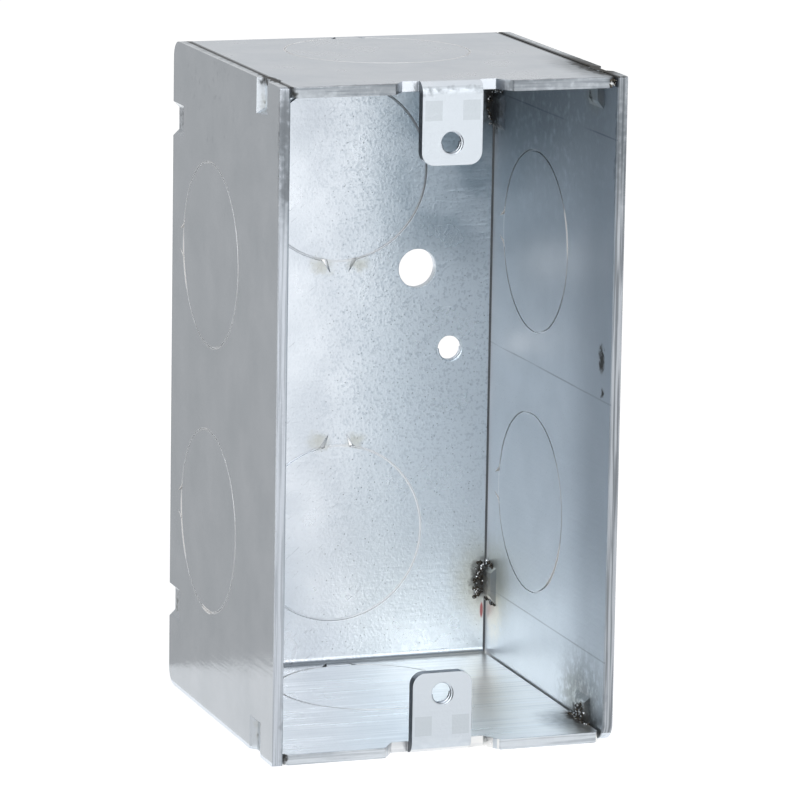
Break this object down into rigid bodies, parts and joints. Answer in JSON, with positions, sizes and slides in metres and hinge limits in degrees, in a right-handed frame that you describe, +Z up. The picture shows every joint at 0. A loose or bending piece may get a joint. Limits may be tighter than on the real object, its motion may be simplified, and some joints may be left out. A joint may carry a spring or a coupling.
{
  "type": "switch box",
  "caption": "Deep rectangular sheet-steel wiring box with an open front, tapped device ears, scored knockouts in every wall and weld-joined side plates.",
  "frame": {"origin": "middle of the underside, the end that the box stands on in the picture", "axes": "+Z up along the box's long side, the open front faces -Y, the back with the mounting hole faces +Y, and +X is the right-hand plate seen from the front"},
  "size_m": [0.054, 0.054, 0.1016],
  "materials": {
    "galvanised_strip": "galvanised sheet steel, dull and finely pitted",
    "galvanised_plate": "galvanised sheet steel, dull grey"
  },
  "bodies": {
    "root": {"wrap_strip": "galvanised_strip", "left_side_plate": "galvanised_plate", "right_side_plate": "galvanised_plate"}
  },
  "joints": []
}
